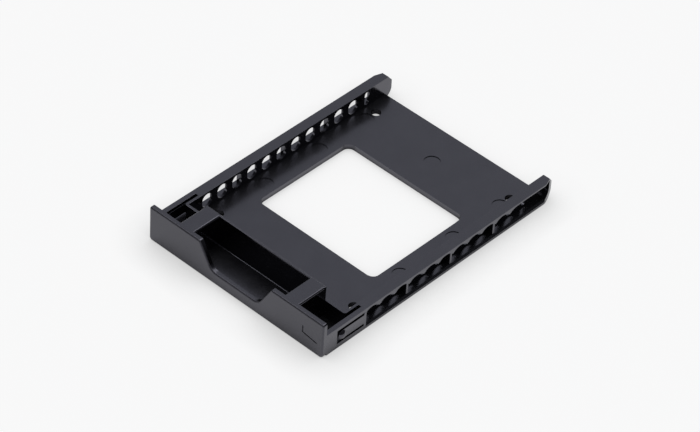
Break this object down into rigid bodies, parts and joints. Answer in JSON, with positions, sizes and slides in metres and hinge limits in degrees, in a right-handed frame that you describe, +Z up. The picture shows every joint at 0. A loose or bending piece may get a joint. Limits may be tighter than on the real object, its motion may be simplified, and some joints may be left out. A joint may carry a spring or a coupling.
{
  "type": "hard drive tray",
  "caption": "Moulded plastic tray for a small hard drive: windowed base with screw holes, vented side rails with spring latches, and a front plate with a finger scoop.",
  "frame": {"origin": "centre of the tray's underside, under the middle of its bounding box", "axes": "+X to the right as seen from the front plate, +Y from the front plate to the connector end, +Z up from the base to the drive"},
  "size_m": [0.081, 0.113, 0.0142],
  "materials": {
    "tray_plastic": "black moulded plastic with a soft sheen"
  },
  "bodies": {
    "root": {"drive_tray": "tray_plastic"}
  },
  "joints": []
}
